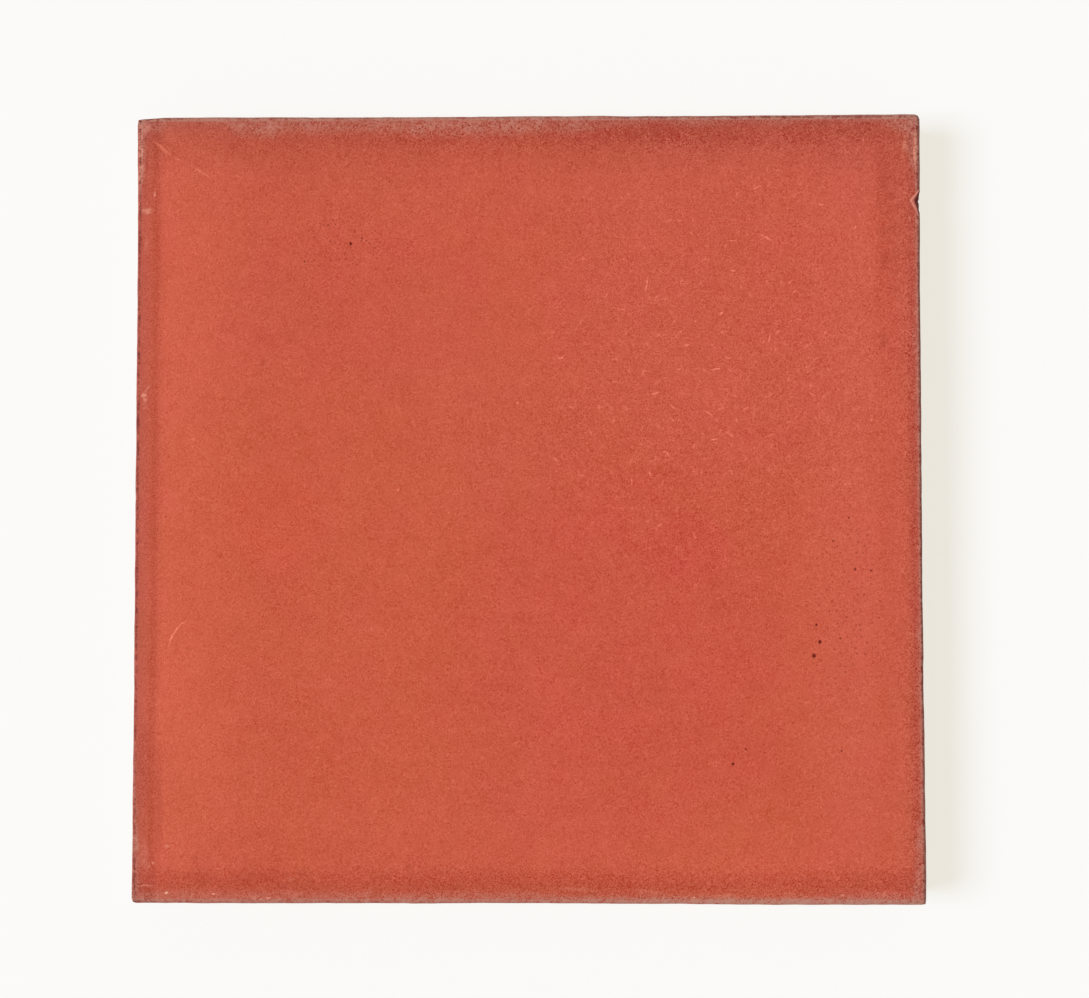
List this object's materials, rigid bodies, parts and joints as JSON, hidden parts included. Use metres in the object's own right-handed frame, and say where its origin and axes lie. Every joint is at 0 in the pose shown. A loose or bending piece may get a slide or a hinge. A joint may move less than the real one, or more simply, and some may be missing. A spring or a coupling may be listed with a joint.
{
  "type": "cement tile",
  "caption": "Square pressed cement floor tile with a plain red face, gently worn edges and a shallow key on its back.",
  "frame": {"origin": "middle of the back, the side that is laid in mortar", "axes": "+Z out of the coloured face, +X to the tile's right and +Y to its rear edge as the face is looked down on"},
  "size_m": [0.2, 0.2, 0.016],
  "materials": {
    "red_cement": "matte"
  },
  "bodies": {
    "root": {"cement_tile": "red_cement"}
  },
  "joints": []
}
